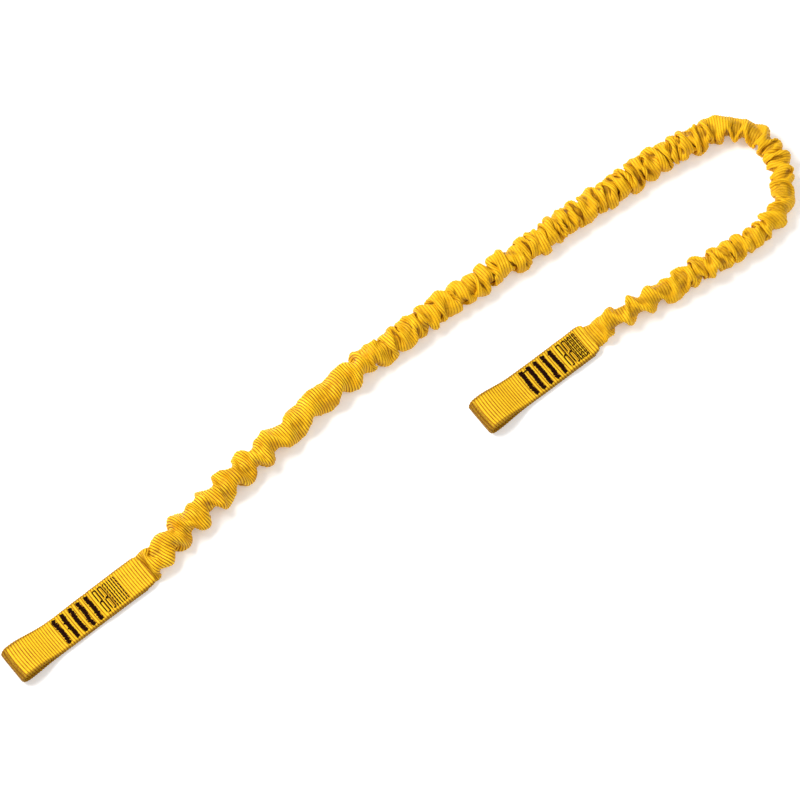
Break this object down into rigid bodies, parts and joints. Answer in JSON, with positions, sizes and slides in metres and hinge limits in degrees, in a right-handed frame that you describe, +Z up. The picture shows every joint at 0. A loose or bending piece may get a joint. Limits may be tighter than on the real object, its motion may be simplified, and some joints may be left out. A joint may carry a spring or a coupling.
{
  "type": "shock absorbing lanyard",
  "caption": "Elasticated webbing lanyard: gathered tubular jacket over an absorber and elastic core, with a bar-tacked webbing loop at each end.",
  "frame": {"origin": "under the middle of the anchor loop's eye, on the surface that the lanyard lies on", "axes": "+X from the anchor loop along the long leg to the bend, +Y from the short leg to the long leg, +Z up from the surface"},
  "size_m": [0.7212, 0.1292, 0.025],
  "materials": {
    "web": "golden-yellow ribbed tubular nylon web",
    "jacket": "the same web gathered over its core",
    "bar_thread": "heavy black bonded sewing thread",
    "fine_thread": "fine dark sewing thread",
    "absorber": "undyed tear-out absorber web",
    "elastic": "natural latex elastic core"
  },
  "bodies": {
    "long_leg_near": {"anchor_neck_jacket": "jacket", "long_leg_jacket_near": "jacket", "long_leg_absorber": "absorber", "long_leg_elastic": "elastic"},
    "long_leg_far": {"long_leg_jacket_far": "jacket"},
    "bend_upper": {"bend_jacket_1": "jacket", "bend_1_absorber": "absorber", "bend_1_elastic": "elastic"},
    "bend_middle": {"bend_jacket_2": "jacket", "bend_2_absorber": "absorber", "bend_2_elastic": "elastic"},
    "bend_lower": {"bend_jacket_3": "jacket", "bend_3_absorber": "absorber", "bend_3_elastic": "elastic"},
    "short_leg_far": {"short_leg_jacket_far": "jacket"},
    "short_leg_near": {"short_leg_jacket_near": "jacket", "harness_neck_jacket": "jacket", "short_leg_absorber": "absorber", "short_leg_elastic": "elastic"},
    "anchor_loop": {"anchor_loop_web": "web", "anchor_bar_tack_1": "bar_thread", "anchor_bar_tack_2": "bar_thread", "anchor_bar_tack_3": "bar_thread", "anchor_bar_tack_4": "bar_thread", "anchor_bar_tack_5": "bar_thread", "anchor_lock_stitches": "fine_thread", "anchor_seam_stitches": "fine_thread", "anchor_absorber_tail": "absorber", "anchor_elastic_tail": "elastic"},
    "harness_loop": {"harness_loop_web": "web", "harness_bar_tack_1": "bar_thread", "harness_bar_tack_2": "bar_thread", "harness_bar_tack_3": "bar_thread", "harness_bar_tack_4": "bar_thread", "harness_bar_tack_5": "bar_thread", "harness_lock_stitches": "fine_thread", "harness_seam_stitches": "fine_thread", "harness_absorber_tail": "absorber", "harness_elastic_tail": "elastic"}
  },
  "joints": [
    {"name": "anchor_neck_flex", "type": "hinge", "parent": "long_leg_near", "child": "anchor_loop", "pos_m": [0.114, 0, 0.006], "axis": [0, 1, 0], "range_deg": [-90, 90], "deforming": ["anchor_neck_jacket", "long_leg_absorber", "long_leg_elastic"]},
    {"name": "long_leg_stretch", "type": "slide", "parent": "long_leg_near", "child": "long_leg_far", "axis": [1, 0, 0], "range_m": [0, 0.25], "stiffness_N_per_m": 120, "deforming": ["long_leg_jacket_near", "long_leg_jacket_far", "long_leg_absorber", "long_leg_elastic"]},
    {"name": "bend_flex_1", "type": "hinge", "parent": "long_leg_far", "child": "bend_upper", "pos_m": [0.6745, -0.0005, 0.0125], "axis": [0, 0, 1], "range_deg": [-2, 45], "deforming": ["long_leg_jacket_far", "bend_jacket_1", "bend_1_absorber", "bend_1_elastic"]},
    {"name": "bend_flex_2", "type": "hinge", "parent": "bend_upper", "child": "bend_middle", "pos_m": [0.6865, -0.0155, 0.0125], "axis": [0, 0, 1], "range_deg": [-2, 45], "deforming": ["bend_jacket_1", "bend_jacket_2", "bend_2_absorber", "bend_2_elastic"]},
    {"name": "bend_flex_3", "type": "hinge", "parent": "bend_middle", "child": "bend_lower", "pos_m": [0.68, -0.0565, 0.0125], "axis": [0, 0, 1], "range_deg": [-2, 45], "deforming": ["bend_jacket_2", "bend_jacket_3", "bend_3_absorber", "bend_3_elastic"]},
    {"name": "bend_flex_4", "type": "hinge", "parent": "bend_lower", "child": "short_leg_far", "pos_m": [0.666, -0.0715, 0.0125], "axis": [0, 0, 1], "range_deg": [-2, 45], "deforming": ["bend_jacket_3", "short_leg_jacket_far"]},
    {"name": "short_leg_stretch", "type": "slide", "parent": "short_leg_far", "child": "short_leg_near", "axis": [-1, 0, 0], "range_m": [0, 0.075], "stiffness_N_per_m": 400, "deforming": ["short_leg_jacket_near", "short_leg_jacket_far", "short_leg_absorber", "short_leg_elastic"]},
    {"name": "harness_neck_flex", "type": "hinge", "parent": "short_leg_near", "child": "harness_loop", "pos_m": [0.4925, -0.0635, 0.006], "axis": [0, 1, 0], "range_deg": [-90, 90], "deforming": ["harness_neck_jacket", "short_leg_absorber", "short_leg_elastic"]}
  ],
  "couplings": [
    {"joint": "bend_flex_2", "follows": "bend_flex_1", "ratio": 1},
    {"joint": "bend_flex_3", "follows": "bend_flex_1", "ratio": 1},
    {"joint": "bend_flex_4", "follows": "bend_flex_1", "ratio": 1},
    {"joint": "short_leg_stretch", "follows": "long_leg_stretch", "ratio": 0.3}
  ]
}
